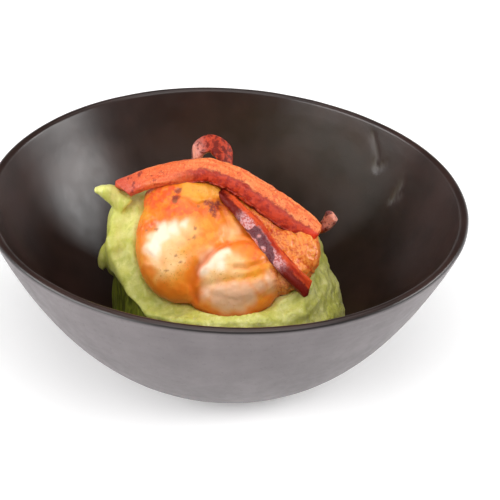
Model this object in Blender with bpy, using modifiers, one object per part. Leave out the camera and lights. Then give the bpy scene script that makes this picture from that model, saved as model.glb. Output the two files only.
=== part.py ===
"""A bowl of seared prawn on avocado puree: a dark stoneware bowl, a scoop of green puree standing in it, a
curled prawn tail lying on the sloping front of the scoop, and three strips of roast red pepper over the prawn.

Blender 4.5, metres, +Z up. The origin is on the table, under the middle of the rim. The prawn looks to -Y."""

import math

import bmesh
import bpy
from mathutils import Matrix, Vector, noise
from mathutils.bvhtree import BVHTree

MM = 0.001
COLLECTION = "prawn_bowl"
CUTTERS = "cutters"
REST_GAP = 0.36 * MM  # between pieces that touch

# The bowl: hand-shaped stoneware, oval at the rim and round at the foot.
RIM_RADIUS = 65.6 * MM
WALL_HEIGHT = 49.4 * MM  # to where the rounded lip begins
WALL = 3.0 * MM
FLOOR = 5.0 * MM
FOOT_RADIUS = 23 * MM
FOOT_SHIFT = 2.0 * MM  # the foot sits a little off the middle of the rim
FOOT_WIDTH = 4.5 * MM
FOOT_RECESS = 1.2 * MM
WALL_PULL = 0.63  # how far out the wall's curve is drawn, as a share of the way from foot to rim
WALL_LIFT = 0.14  # and how high, as a share of the height
OVAL = 0.055
OVAL_TURN = math.radians(-23)
CORNER = 0.005
CORNER_TURN = math.radians(-20)
BOWL_STEPS = 64
WALL_STEPS = 8
LIP_STEPS = 4
GLAZE = (0.075, 0.062, 0.058)

# The scoop of puree: a rounded block, steep at the left and lower at the right.
SCOOP_MIDDLE = Vector((0.0, -2.0, 12.0)) * MM
SCOOP_HALF = Vector((34.4, 30.0, 39.0)) * MM
STEEP_LEFT = 10.0  # 2 is an ellipsoid's side, and more is steeper
STEEP_RIGHT = 2.0
STEEP_BLEND = 0.42
SCOOP_LEAN = 0.16  # how far the top leans back, as a share of the height above the middle
SCOOP_FALL = 0.34  # how much lower the right end is than the left
FALL_START = -0.3  # where the fall begins, as a share of the half width
SCOOP_RINGS = 18
SCOOP_SPOKES = 36
LUMP_SPACING = 17 * MM
LUMP_HEIGHT = 1.6 * MM
SEAT_DEPTH = -3.0 * MM  # the flat seat under the prawn, below the prawn's middle plane
SEAT_END = 17 * MM, 27 * MM  # how far down the slope the seat ends, and where the scoop is full again
SEAT_LIP = 10 * MM
HORN = Vector((-33.0, 3.0, 48.6)) * MM, 4.8 * MM, Vector((-3.2, -0.6, 3.6)) * MM  # the pulled peak
FLAKE = Vector((-34.0, -2.0, 32.0)) * MM, 3.0 * MM, Vector((-1.8, -0.5, -2.0)) * MM  # the small flap under it
PUREE = (0.55, 0.50, 0.10)

# The prawn lies in the plane of the slope: u runs to the right, v up the slope, w out of it.
PRAWN_MIDDLE = Vector((1.2, -8.0, 41.6)) * MM
PRAWN_SLOPE = math.radians(42)
PRAWN_VOXEL = 1.1 * MM
PRAWN_TRIANGLES = 1700
FURROW_FADE = 3 * MM
PRAWN = (0.86, 0.38, 0.12)
# Each swelling of the curled tail: its middle (u, v, w) and half sizes in mm, and its turn in degrees. They
# follow the curl from the thick end at the upper left, down, across and up the right side.
SWELLINGS = {
    "thick end": ((-9.8, 12.8, -1.2), (14.6, 8.8, 8.8), 8),
    "first": ((-12.0, 0.7, 0.4), (14.2, 18.4, 9.3), -8),
    "second": ((2.9, -8.0, 0.6), (13.8, 10.8, 8.6), 12),
    "second's flank": ((1.0, -13.4, -1.4), (13.0, 8.4, 7.0), 2),
    "third": ((14.0, -8.4, -1.6), (8.4, 6.4, 6.4), 20),
    "fourth": ((19.6, -1.8, -3.4), (6.4, 9.0, 6.4), 0),
    "fifth": ((15.0, 4.6, -5.4), (10.0, 7.4, 6.6), -40),
    "belly": ((1.0, 5.9, -2.4), (17.0, 11.6, 8.4), 0),
}
# The furrows between swellings: points (u, v), depth and half width, in mm.
FURROWS = [
    ([(-9.9, -13.5), (-10.2, -7.5), (-6.5, -4.0), (-1.8, -0.8), (2.6, 0.9)], 1.5, 2.0),
    ([(-9.0, -9.8), (-3.0, -10.6), (6.0, -10.2), (12.5, -7.6), (18.2, -4.6)], 0.7, 1.6),
]

# The pepper strips. Each way-point has the strip's middle (x, y, z) in mm, the way the broad face looks, and
# the width in mm.
STRIP_STEPS = 4  # stretches between two way-points
STRIP_BEVEL = 0.22  # as a share of the section
ROAST_PEPPER = (0.62, 0.12, 0.035)
CHARRED_PEPPER = (0.30, 0.045, 0.018)
LONG_THICKNESS = 3.4 * MM
LONG_STRIP = [
    ((-29.4, 2.6, 52.6), (-0.2, -0.45, 0.9), 6.2),
    ((-21.4, 2.0, 56.6), (-0.2, -0.45, 0.9), 6.2),
    ((-12.8, 1.0, 59.4), (-0.1, -0.5, 0.85), 6.4),
    ((-5.2, 0.0, 60.9), (0.1, -0.5, 0.85), 6.8),
    ((2.0, -1.0, 58.9), (0.35, -0.45, 0.85), 7.2),
    ((8.8, -2.0, 54.9), (0.5, -0.45, 0.8), 8.2),
    ((16.0, -3.8, 49.9), (0.5, -0.45, 0.8), 8.2),
    ((22.0, -5.0, 45.9), (0.5, -0.45, 0.8), 7.2),
    ((26.6, -6.0, 43.0), (0.5, -0.45, 0.8), 5.4),
]
CHARRED_THICKNESS = 2.6 * MM
CHARRED_STRIP = [
    ((-8.6, 14.0, 50.6), (-1.0, -0.3, 0.0), 4.0),
    ((-8.2, 13.6, 55.4), (-1.0, -0.3, 0.1), 4.4),
    ((-7.4, 13.4, 59.2), (-0.8, -0.5, 0.5), 4.8),
    ((-3.9, 13.2, 61.4), (0.1, -0.6, 0.8), 5.2),
    ((-0.6, 12.0, 59.0), (0.7, -0.5, 0.5), 6.2),
    ((0.2, 8.6, 55.9), (0.5, -0.1, 0.85), 4.2),
    ((-0.4, 4.0, 54.7), (0.2, -0.2, 0.95), 3.4),
    ((-0.8, -1.6, 54.7), (0.2, -0.45, 0.85), 3.4),
    ((4.3, -6.9, 51.6), (0.15, -0.6, 0.8), 4.0),
    ((9.2, -11.0, 47.8), (0.15, -0.65, 0.72), 5.0),
    ((13.4, -15.4, 43.5), (0.2, -0.65, 0.72), 4.9),
    ((18.4, -18.5, 38.9), (0.2, -0.68, 0.7), 4.8),
    ((23.6, -19.0, 32.9), (0.2, -0.75, 0.65), 5.2),
]
END_THICKNESS = 2.4 * MM
END_STRIP = [
    ((31.0, 4.0, 43.2), (-0.5, -0.7, 0.45), 4.2),
    ((28.0, 5.0, 38.0), (-0.3, -0.3, 0.9), 3.6),
    ((22.8, 6.6, 38.2), (0.2, 0.1, 0.95), 3.2),
    ((16.8, 8.8, 42.0), (0.3, 0.1, 0.95), 3.2),
    ((10.4, 10.8, 45.8), (0.3, 0.1, 0.95), 2.8),
]


def material(name, colour, roughness):
    """A plain Principled material in the piece's own colour."""
    made = bpy.data.materials.new(name)
    made.use_nodes = True
    shader = made.node_tree.nodes["Principled BSDF"]
    shader.inputs["Base Color"].default_value = (*colour, 1.0)
    shader.inputs["Roughness"].default_value = roughness
    shader.inputs["Metallic"].default_value = 0.0
    return made


def collection(name):
    made = bpy.data.collections.new(name)
    bpy.context.scene.collection.children.link(made)
    return made


def add_object(name, data, group, finish=None):
    made = bpy.data.objects.new(name, data)
    group.objects.link(made)
    if finish:
        data.materials.clear()
        data.materials.append(finish)
    return made


def mesh_object(name, mesh, group, finish=None):
    """An object of a bmesh, which is freed."""
    data = bpy.data.meshes.new(name)
    mesh.to_mesh(data)
    mesh.free()
    return add_object(name, data, group, finish)


def baked(source, name, group, finish=None):
    """A new mesh object of what source's modifiers give. Source is removed."""
    graph = bpy.context.evaluated_depsgraph_get()
    data = bpy.data.meshes.new_from_object(source.evaluated_get(graph), depsgraph=graph)
    data.transform(source.matrix_world)
    bpy.data.objects.remove(source)
    data.name = name
    return add_object(name, data, group, finish)


def smooth_shade(thing, angle=math.radians(40)):
    thing.data.shade_smooth()
    thing.data.set_sharp_from_angle(angle=angle)


def eased(value, low, high):
    """0 below low, 1 above high, and a smooth step between."""
    share = min(1.0, max(0.0, (value - low) / (high - low)))
    return share * share * (3 - 2 * share)


def cut(body, cutter, solver="EXACT"):
    """Takes cutter out of body with a Boolean. The cutter stays as a guide that isn't rendered."""
    step = body.modifiers.new("room for " + cutter.name, "BOOLEAN")
    step.operation = "DIFFERENCE"
    step.solver = solver
    step.object = cutter
    cutter.hide_render = True
    cutter.display_type = "WIRE"


# ---------------------------------------------------------------- bowl


def wall_point(share):
    """(radius, height) on the outer wall, share 0 at the foot and 1 at the rim: a curve with one control."""
    foot = Vector((FOOT_RADIUS, 0.0))
    rim = Vector((RIM_RADIUS, WALL_HEIGHT))
    control = Vector((FOOT_RADIUS + (RIM_RADIUS - FOOT_RADIUS) * WALL_PULL, WALL_HEIGHT * WALL_LIFT))
    return foot * (1 - share) ** 2 + control * 2 * share * (1 - share) + rim * share**2


def wall_inwards(share, step=1e-4):
    """The unit vector into the bowl, square to the outer wall."""
    along = wall_point(min(1, share + step)) - wall_point(max(0, share - step))
    along.normalize()
    return Vector((-along.y, along.x))


def bowl_profile():
    """From the middle of the inner floor up to the lip, over it, down the outside and under the foot."""
    shares = [k / WALL_STEPS for k in range(WALL_STEPS + 1)]
    outer = [wall_point(share) for share in shares]
    inner = [wall_point(share) + wall_inwards(share) * WALL for share in shares[1:]]
    across = wall_inwards(1.0) * WALL / 2
    upwards = Vector((-across.y, across.x)) * -1
    lip_middle = wall_point(1.0) + across
    turns = [math.pi * k / LIP_STEPS for k in range(1, LIP_STEPS)]
    lip = [lip_middle + across * math.cos(turn) + upwards * math.sin(turn) for turn in turns]
    first = inner[0]
    floor = [Vector((0.0, FLOOR)), Vector((first.x * 0.3, FLOOR))]
    floor.append(Vector((first.x * 0.62, FLOOR + 0.35 * (first.y - FLOOR))))
    ring = FOOT_RADIUS - FOOT_WIDTH
    under = [Vector((ring, 0.0)), Vector((ring - FOOT_RECESS, FOOT_RECESS)), Vector((0.0, FOOT_RECESS))]
    return floor + inner + lip + outer[::-1] + under


def out_of_round(place):
    """Moves a point of the round bowl to where it is on the oval one. The foot stays round."""
    turn = math.atan2(place.y, place.x)
    share = max(0.0, place.z) / WALL_HEIGHT
    swell = OVAL * math.cos(2 * (turn - OVAL_TURN)) + CORNER * math.cos(3 * (turn - CORNER_TURN))
    shift = FOOT_SHIFT * max(0.0, 1 - share) ** 2
    return Vector((place.x * (1 + swell * share) + shift, place.y * (1 + swell * share), place.z))


def make_bowl(group, finish):
    points = bowl_profile()
    edges = [(k, k + 1) for k in range(len(points) - 1)]
    data = bpy.data.meshes.new("bowl_profile")
    data.from_pydata([(point.x, 0.0, point.y) for point in points], edges, [])
    turned = add_object("bowl_profile", data, group)
    screw = turned.modifiers.new("turn", "SCREW")
    screw.steps = BOWL_STEPS
    screw.render_steps = BOWL_STEPS
    screw.use_merge_vertices = True
    screw.merge_threshold = 0.00001
    bowl = baked(turned, "bowl", group, finish)
    for vertex in bowl.data.vertices:
        vertex.co = out_of_round(vertex.co)
    smooth_shade(bowl)
    return bowl


# ---------------------------------------------------------------- prawn


def slope_frame():
    """The prawn's own frame as a matrix: u is +X, v runs up the slope and w out of it."""
    u = Vector((1, 0, 0))
    v = Vector((0, math.cos(PRAWN_SLOPE), math.sin(PRAWN_SLOPE)))
    w = Vector((0, -math.sin(PRAWN_SLOPE), math.cos(PRAWN_SLOPE)))
    return Matrix.Translation(PRAWN_MIDDLE) @ Matrix((u, v, w)).transposed().to_4x4()


def distance_to_line(place, line):
    """How far a flat point is from a line of points in mm."""
    best = math.inf
    for start, end in zip(line, line[1:]):
        start = Vector(start) * MM
        along = Vector(end) * MM - start
        share = min(1.0, max(0.0, (place - start).dot(along) / along.length_squared))
        best = min(best, (place - start - along * share).length)
    return best


def furrowed(place):
    """Sinks a point of the prawn's upper side where a furrow passes."""
    if place.z <= 0:
        return place
    sunk = place.copy()
    for line, depth, width in FURROWS:
        near = distance_to_line(place.xy, line) / (width * MM)
        sunk.z -= depth * MM * math.exp(-near * near) * min(1.0, place.z / FURROW_FADE)
    return sunk


def make_prawn(name, group, finish=None, grow=0.0):
    """The prawn as one closed skin on its slope. grow adds a margin all round, for a cutter."""
    mesh = bmesh.new()
    for middle, half, turn in SWELLINGS.values():
        place = Matrix.Translation(Vector(middle) * MM) @ Matrix.Rotation(math.radians(turn), 4, "Z")
        size = Matrix.Diagonal((*(Vector(half) * MM), 1))
        bmesh.ops.create_uvsphere(mesh, u_segments=32, v_segments=20, radius=1, matrix=place @ size)
    swellings = mesh_object("prawn_swellings", mesh, group)
    skin = swellings.modifiers.new("one skin", "REMESH")
    skin.mode = "VOXEL"
    skin.voxel_size = PRAWN_VOXEL
    soften = swellings.modifiers.new("soften", "SMOOTH")
    soften.factor = 0.5
    soften.iterations = 3
    whole = baked(swellings, "prawn_whole", group)
    for vertex in whole.data.vertices:
        vertex.co = furrowed(vertex.co)
    thin = whole.modifiers.new("thin out", "DECIMATE")
    thin.ratio = PRAWN_TRIANGLES / (2 * len(whole.data.polygons))
    prawn = baked(whole, name, group, finish)
    if grow:
        outwards = [vertex.normal.copy() for vertex in prawn.data.vertices]
        for vertex, normal in zip(prawn.data.vertices, outwards):
            vertex.co += normal * grow
    prawn.data.transform(slope_frame())
    smooth_shade(prawn)
    return prawn


# ---------------------------------------------------------------- pepper strips


def smooth_reading(values, share):
    """Reads a list of numbers or vectors along a Catmull-Rom curve, share 0 at the first and 1 at the last."""
    last = len(values) - 1
    reach = min(share * last, last - 1e-6)
    k = int(reach)
    t = reach - k
    before, start = values[max(0, k - 1)], values[k]
    end, after = values[k + 1], values[min(last, k + 2)]
    square = (before * 2 - start * 5 + end * 4 - after) * t**2
    cube = (start * 3 - before - end * 3 + after) * t**3
    return (start * 2 + (end - before) * t + square + cube) * 0.5


def lengthwise(mesh):
    """The edges of a unit box that run along X from end to end."""
    return [edge for edge in mesh.edges if abs(edge.verts[0].co.x - edge.verts[1].co.x) > 0.5]


def make_strip(name, way, thickness, group, finish=None, grow=0.0):
    """A long box with rounded edges, laid along its way. grow adds a margin all round, for a cutter."""
    places = [Vector(place) * MM for place, _, _ in way]
    faces = [Vector(face).normalized() for _, face, _ in way]
    widths = [width * MM for _, _, width in way]
    mesh = bmesh.new()
    bmesh.ops.create_cube(mesh, size=1)
    bmesh.ops.bevel(mesh, geom=lengthwise(mesh), offset=STRIP_BEVEL, segments=1, profile=0.5, affect="EDGES")
    cuts = STRIP_STEPS * (len(way) - 1) - 1
    bmesh.ops.subdivide_edges(mesh, edges=lengthwise(mesh), cuts=cuts, use_grid_fill=True)
    for vertex in mesh.verts:
        share = min(1.0, max(0.0, vertex.co.x + 0.5))
        along = smooth_reading(places, min(1, share + 0.01)) - smooth_reading(places, max(0, share - 0.01))
        along.normalize()
        across = smooth_reading(faces, share).cross(along).normalized()
        out = along.cross(across)
        beyond = grow * (round(share, 4) == 1) - grow * (round(share, 4) == 0)
        width = smooth_reading(widths, share) + 2 * grow
        depth = thickness + 2 * grow
        shift = along * beyond + across * vertex.co.y * width + out * vertex.co.z * depth
        vertex.co = smooth_reading(places, share) + shift
    strip = mesh_object(name, mesh, group, finish)
    smooth_shade(strip)
    return strip


# ---------------------------------------------------------------- puree


def scoop_point(unit):
    """Where a point of the unit sphere goes on the plain scoop."""
    power = STEEP_LEFT + (STEEP_RIGHT - STEEP_LEFT) * (0.5 + 0.5 * unit.x) ** STEEP_BLEND
    reach = (1 - min(1.0, abs(unit.z)) ** power) ** (1 / power)
    side = unit.xy.normalized() * reach
    place = Vector((side.x * SCOOP_HALF.x, side.y * SCOOP_HALF.y, unit.z * SCOOP_HALF.z))
    if place.z > 0:
        place.z *= 1 - SCOOP_FALL * eased(place.x / SCOOP_HALF.x, FALL_START, 1.0)
        place.y += SCOOP_LEAN * place.z
    return place + SCOOP_MIDDLE


def seated(place, slope):
    """Presses the front of the scoop flat where the prawn lies."""
    flat = slope.inverted() @ place
    flat.z = min(flat.z, SEAT_DEPTH + SEAT_LIP * eased(-flat.y, *SEAT_END))
    return slope @ flat


def lumpy(place):
    outwards = (place - SCOOP_MIDDLE).normalized()
    return place + outwards * noise.noise(place / LUMP_SPACING) * LUMP_HEIGHT


def pulled(place, root, reach, move):
    """Draws the puree near root along move, most at the root."""
    near = (place - root).length / reach
    return place + move * math.exp(-near * near)


def make_puree(bowl, group, finish):
    mesh = bmesh.new()
    bmesh.ops.create_uvsphere(mesh, u_segments=SCOOP_SPOKES, v_segments=SCOOP_RINGS, radius=1)
    inside = BVHTree.FromObject(bowl, bpy.context.evaluated_depsgraph_get())
    slope = slope_frame()
    for vertex in mesh.verts:
        place = lumpy(seated(scoop_point(vertex.co), slope))
        place = pulled(pulled(place, *HORN), *FLAKE)
        above = Vector((place.x, place.y, 2 * WALL_HEIGHT))
        under = inside.ray_cast(above, Vector((0, 0, -1)))[0]
        place.z = max(place.z, under.z + REST_GAP)
        vertex.co = place
    puree = mesh_object("puree", mesh, group, finish)
    smooth_shade(puree)
    return puree


def main():
    for thing in list(bpy.data.objects):
        bpy.data.objects.remove(thing)
    group = collection(COLLECTION)
    cutters = collection(CUTTERS)

    bowl = make_bowl(group, material("glaze", GLAZE, 0.35))
    prawn = make_prawn("prawn", group, material("seared_prawn", PRAWN, 0.35))
    prawn_room = make_prawn("prawn_room", cutters, grow=REST_GAP)
    puree = make_puree(bowl, group, material("puree", PUREE, 0.55))
    cut(puree, prawn_room)

    roast = material("roast_pepper", ROAST_PEPPER, 0.4)
    charred = material("charred_pepper", CHARRED_PEPPER, 0.45)
    strips = {
        "pepper_strip_long": (LONG_STRIP, LONG_THICKNESS, roast),
        "pepper_strip_charred": (CHARRED_STRIP, CHARRED_THICKNESS, charred),
        "pepper_strip_end": (END_STRIP, END_THICKNESS, charred),
    }
    for name, (way, thickness, finish) in strips.items():
        make_strip(name, way, thickness, group, finish)
        room = make_strip(name + "_room", way, thickness, cutters, grow=REST_GAP)
        cut(prawn, room)
        # The short strip bends so sharply that its room meets itself, and EXACT then empties the puree.
        cut(puree, room, solver="MANIFOLD" if name == "pepper_strip_end" else "EXACT")


main()
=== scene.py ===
# %% [markdown]
# # A bowl of seared prawn on avocado puree
#
# This lesson dresses one plate of food. The plain solid model is already made and packed. Here every piece gets
# its real surface: a stoneware bowl, a scoop of puree, a curled prawn tail and three strips of roast pepper.
# All lengths are in metres, and the table is at height 0.

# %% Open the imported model
import math

import bmesh
import bpy
import numpy as np
from mathutils import Matrix, Vector, noise
from mathutils.bvhtree import BVHTree


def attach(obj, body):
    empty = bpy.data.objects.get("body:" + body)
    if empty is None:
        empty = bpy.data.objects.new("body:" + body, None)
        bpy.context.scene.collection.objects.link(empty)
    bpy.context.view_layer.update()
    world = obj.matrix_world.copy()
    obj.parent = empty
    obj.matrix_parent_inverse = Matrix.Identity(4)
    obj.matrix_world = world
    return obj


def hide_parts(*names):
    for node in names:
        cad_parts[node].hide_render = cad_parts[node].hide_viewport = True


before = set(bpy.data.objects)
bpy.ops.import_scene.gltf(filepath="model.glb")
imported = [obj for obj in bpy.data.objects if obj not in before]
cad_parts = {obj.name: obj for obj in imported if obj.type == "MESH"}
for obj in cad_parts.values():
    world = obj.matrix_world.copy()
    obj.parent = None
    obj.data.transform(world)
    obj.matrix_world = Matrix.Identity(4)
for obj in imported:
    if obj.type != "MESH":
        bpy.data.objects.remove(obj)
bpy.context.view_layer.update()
MM = 0.001
print("pieces in the packed model:", ", ".join(sorted(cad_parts)))

# %% [markdown]
# ## The camera
#
# A starter bowl is looked at from a diner's height, about 35 degrees above the table. A long lens from 60 cm
# away keeps the rim's oval calm, where a wide lens would swell the near side.

# %% Set up the camera
CAMERA_RISE = math.radians(34.5)
CAMERA_DISTANCE = 0.600
CAMERA_AIM = Vector((0.0072, 0.0, 0.0335))
CAMERA_LENS = 150.1

lens = bpy.data.cameras.new("table_camera")
lens.sensor_width = 36.0
lens.lens = CAMERA_LENS
lens.clip_start = 0.01
camera = bpy.data.objects.new("table_camera", lens)
towards_camera = Vector((0, -math.cos(CAMERA_RISE), math.sin(CAMERA_RISE)))
camera.location = CAMERA_AIM + towards_camera * CAMERA_DISTANCE
camera.rotation_euler = (math.pi / 2 - CAMERA_RISE, 0, 0)
bpy.context.scene.collection.objects.link(camera)
bpy.context.scene.camera = camera
print("camera at", [round(value, 3) for value in camera.location])

# %% [markdown]
# ## Light for a dark glossy bowl
#
# A dark glaze has almost no colour of its own, so what we see in it is the studio. Two bright softboxes stand low
# at the sides and give the pale bands in the bowl. A wide soft light overhead lights the food, and two fills
# open its shadows. The room above is dark and the table is white, which keeps the middle of the glaze deep.

# %% Hang the lights
BOWL_HEART = (0.0, 0.0, 0.03)


def softbox(name, place, width, height, watts):
    """A soft rectangular lamp that looks at the bowl. It isn't seen itself, only what it lights."""
    lamp = bpy.data.lights.new(name, "AREA")
    lamp.shape = "RECTANGLE"
    lamp.size = width
    lamp.size_y = height
    lamp.energy = watts
    made = bpy.data.objects.new(name, lamp)
    made.location = place
    made.rotation_euler = (Vector(BOWL_HEART) - Vector(place)).to_track_quat("-Z", "Y").to_euler()
    made.visible_camera = False
    bpy.context.scene.collection.objects.link(made)
    return made


def aside(turn, rise):
    """A place one metre from the bowl, turned to the right from the camera's side and raised, in degrees."""
    turn, rise = math.radians(turn), math.radians(rise)
    flat = math.cos(rise)
    return Vector((flat * math.sin(turn), -flat * math.cos(turn), math.sin(rise) + BOWL_HEART[2]))


softbox("softbox_left", aside(-70, 21), 0.95, 0.46, 9.0)
softbox("softbox_right", aside(90, 20), 0.75, 0.27, 6.0)
softbox("softbox_above", (0.0, 0.05, 0.95), 0.85, 0.75, 3.1)
softbox("softbox_front", aside(0, 52), 1.1, 0.50, 4.6)
side_fill = softbox("softbox_side_fill", aside(55, 42), 0.6, 0.4, 2.4)
side_fill.visible_glossy = False  # or it would show as one more band in the glaze

world = bpy.data.worlds.new("studio_room")
world.use_nodes = True
bpy.context.scene.world = world
room = world.node_tree
seen = room.nodes.new("ShaderNodeTexCoord")
split = room.nodes.new("ShaderNodeSeparateXYZ")
dimming = room.nodes.new("ShaderNodeValToRGB")
room.links.new(seen.outputs["Generated"], split.inputs[0])
room.links.new(split.outputs["Z"], dimming.inputs[0])
room.links.new(dimming.outputs[0], room.nodes["Background"].inputs["Color"])
low_room, high_room = dimming.color_ramp.elements
low_room.color = (1.0, 1.0, 1.0, 1)
high_room.position, high_room.color = 0.30, (0.10, 0.10, 0.10, 1)
bpy.context.scene.view_settings.view_transform = "Standard"
print("five softboxes and a room that darkens upwards")

# %% [markdown]
# ## Shaping helpers
#
# Every surface here is made of rows of points worked out by a formula, with numpy, because a hand-shaped bowl or
# a swept strip is easiest to describe that way. These helpers turn rows of points into a mesh, give smooth steps
# and noise, and read a curve through a few way-points.

# %% Smooth steps, noise and curves
def eased(value, low, high):
    """0 below low, 1 above high, and a smooth step between."""
    share = np.clip((np.asarray(value, float) - low) / (high - low), 0, 1)
    return share * share * (3 - 2 * share)


def near(distance, width):
    """1 where the distance is 0, fading to nothing a few widths away."""
    return np.exp(-((np.asarray(distance) / width) ** 2))


def lumps(places, size, seed=0):
    """Smooth noise of about -1 to 1 at each place, with lumps about as big as size."""
    spread = np.asarray(places, float).reshape(-1, 3) / size + (17.3 * seed, -9.1 * seed, 5.7 * seed)
    return np.array([noise.noise(place) for place in spread.tolist()])


def through(values, shares):
    """Reads way-points along a smooth curve, share 0 at the first and 1 at the last."""
    values = np.asarray(values, float)
    values = values.reshape(len(values), -1)
    last = len(values) - 1
    reach = np.clip(np.asarray(shares) * last, 0, last - 1e-6)
    k = reach.astype(int)
    t = (reach - k)[:, None]
    before, start = values[np.maximum(k - 1, 0)], values[k]
    end, after = values[k + 1], values[np.minimum(k + 2, last)]
    square = (2 * before - 5 * start + 4 * end - after) * t**2
    cube = (3 * start - before - 3 * end + after) * t**3
    return 0.5 * (2 * start + (end - before) * t + square + cube)


def unit(vectors):
    """The same directions, each one long."""
    return vectors / np.linalg.norm(vectors, axis=-1, keepdims=True)


# %% Turn rows of points into pieces
def piece_of_rings(name, rings, first_pole=None, last_pole=None):
    """A closed mesh of rings of points, each joined to the next. The end rings close on a point."""
    count, around, _ = rings.shape
    first_pole = rings[0].mean(0) if first_pole is None else first_pole
    last_pole = rings[-1].mean(0) if last_pole is None else last_pole
    points = np.vstack([rings.reshape(-1, 3), first_pole, last_pole])
    ring, spoke = np.meshgrid(np.arange(count - 1), np.arange(around), indexing="ij")
    here, beside = ring * around + spoke, ring * around + (spoke + 1) % around
    walls = np.stack([here, beside, beside + around, here + around], -1).reshape(-1, 4).tolist()
    low, high = count * around, count * around + 1
    fans = [(low, (k + 1) % around, k) for k in range(around)]
    top = (count - 1) * around
    fans += [(high, top + k, top + (k + 1) % around) for k in range(around)]
    data = bpy.data.meshes.new(name)
    data.from_pydata(points.tolist(), [], walls + fans)
    data.shade_smooth()
    made = bpy.data.objects.new(name, data)
    bpy.context.scene.collection.objects.link(made)
    turn_outwards(made)
    return made


def turn_outwards(thing):
    """Makes sure that a closed mesh has its outer side out."""
    mesh = bmesh.new()
    mesh.from_mesh(thing.data)
    if mesh.calc_volume(signed=True) < 0:
        bmesh.ops.reverse_faces(mesh, faces=mesh.faces)
    mesh.to_mesh(thing.data)
    mesh.free()


def points_of(thing, what="co"):
    """A row of three numbers for each point of a mesh: its place, or its normal if asked."""
    flat = np.zeros(len(thing.data.vertices) * 3, np.float32)
    thing.data.vertices.foreach_get(what, flat)
    return flat.reshape(-1, 3).astype(float)


def move_points(thing, places):
    """Puts each point of a mesh at a new place."""
    thing.data.vertices.foreach_set("co", np.asarray(places, np.float32).ravel())
    thing.data.update()


def mark(thing, name, amounts):
    """Keeps an amount for each point, which a material can read by its name."""
    layer = thing.data.attributes.new(name, "FLOAT", "POINT")
    layer.data.foreach_set("value", np.asarray(amounts, np.float32).ravel())


def applied(thing, kind, **wanted):
    """Runs one kind of modifier on a piece and keeps its result."""
    step = thing.modifiers.new(kind.lower(), kind)
    for setting, value in wanted.items():
        setattr(step, setting, value)
    graph = bpy.context.evaluated_depsgraph_get()
    data = bpy.data.meshes.new_from_object(thing.evaluated_get(graph), depsgraph=graph)
    thing.modifiers.clear()
    thing.data = data
    thing.data.shade_smooth()


def tree_of(thing):
    """A search tree of a piece's faces, for finding what lies above, below or near a point."""
    return BVHTree.FromObject(thing, bpy.context.evaluated_depsgraph_get())


print("shaping helpers are ready")

# %% [markdown]
# ## Finishing helpers
#
# A material is a small tree of nodes. All noise is laid out in the object's own metres, so its grain has a real
# size.

# %% Helpers for materials
def finish(name, **plain):
    """A new material, with plain numbers set on its Principled shader."""
    global tree
    made = bpy.data.materials.new(name)
    made.use_nodes = True
    tree = made.node_tree
    shader = tree.nodes["Principled BSDF"]
    for socket, value in plain.items():
        shader.inputs[socket.replace("_", " ")].default_value = value
    return made, shader


def wire(source, target):
    """Sets a socket to a number or colour, or links it to another node's output."""
    if isinstance(source, bpy.types.NodeSocket):
        tree.links.new(source, target)
    elif isinstance(source, tuple) and len(source) == 3 and target.type == "RGBA":
        target.default_value = (*source, 1.0)
    else:
        target.default_value = source


def amount(name):
    """The amount that mark() kept under a name."""
    node = tree.nodes.new("ShaderNodeAttribute")
    node.attribute_name = name
    return node.outputs["Fac"]


def grain(size, detail=3.0, rough=0.55, stretch=(1, 1, 1)):
    """Noise of 0 to 1 with grains about as big as size, longer along an axis where stretch is over 1."""
    place = tree.nodes.new("ShaderNodeTexCoord")
    scaled = tree.nodes.new("ShaderNodeMapping")
    scaled.inputs["Scale"].default_value = [1 / (size * share) for share in stretch]
    tree.links.new(place.outputs["Object"], scaled.inputs["Vector"])
    node = tree.nodes.new("ShaderNodeTexNoise")
    node.inputs["Scale"].default_value = 1.0
    node.inputs["Detail"].default_value = detail
    node.inputs["Roughness"].default_value = rough
    tree.links.new(scaled.outputs[0], node.inputs["Vector"])
    return node.outputs["Fac"]


def between(value, low, high, start=0.0, end=1.0):
    """Turns low to high into start to end, smoothly."""
    node = tree.nodes.new("ShaderNodeMapRange")
    node.interpolation_type = "SMOOTHSTEP"
    for socket, number in zip(node.inputs, (value, low, high, start, end)):
        wire(number, socket)
    return node.outputs[0]


def sum_up(how, first, second):
    """A sum, product or other calculation of two values."""
    node = tree.nodes.new("ShaderNodeMath")
    node.operation = how
    wire(first, node.inputs[0])
    wire(second, node.inputs[1])
    return node.outputs[0]


def times(first, second):
    """The product of two values."""
    return sum_up("MULTIPLY", first, second)


def blended(share, first, second):
    """The second colour over the first, by a share."""
    node = tree.nodes.new("ShaderNodeMix")
    node.data_type = "RGBA"
    wire(share, node.inputs[0])
    wire(first, node.inputs[6])
    wire(second, node.inputs[7])
    return node.outputs[2]


def tinted(most, share, colour, layer):
    """A layer over a colour, where a share is 1 by as much as most."""
    return blended(times(share, most), colour, layer)


def bumps(shader, height, depth, strength=1.0):
    """Fine relief that is too small for the mesh, depth in metres."""
    node = tree.nodes.new("ShaderNodeBump")
    node.inputs["Strength"].default_value = strength
    node.inputs["Distance"].default_value = depth
    wire(height, node.inputs["Height"])
    tree.links.new(node.outputs[0], shader.inputs["Normal"])


def surface(shader, colour, rough):
    """Gives a shader its colour and its roughness."""
    wire(colour, shader.inputs["Base Color"])
    wire(rough, shader.inputs["Roughness"])


def dress(thing, material, slot, *nodes):
    """Gives a piece its finish, its place in the model and the node it stands for."""
    thing.data.materials.clear()
    thing.data.materials.append(material)
    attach(thing, "root")
    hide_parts(*nodes)
    print(thing.name, "has", len(thing.data.polygons), "faces")


print("finishing helpers are ready")

# %% [markdown]
# ## The table
#
# A white table, plain and matt, that catches the bowl's soft shadow. It is a stage and not part of the object.

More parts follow.
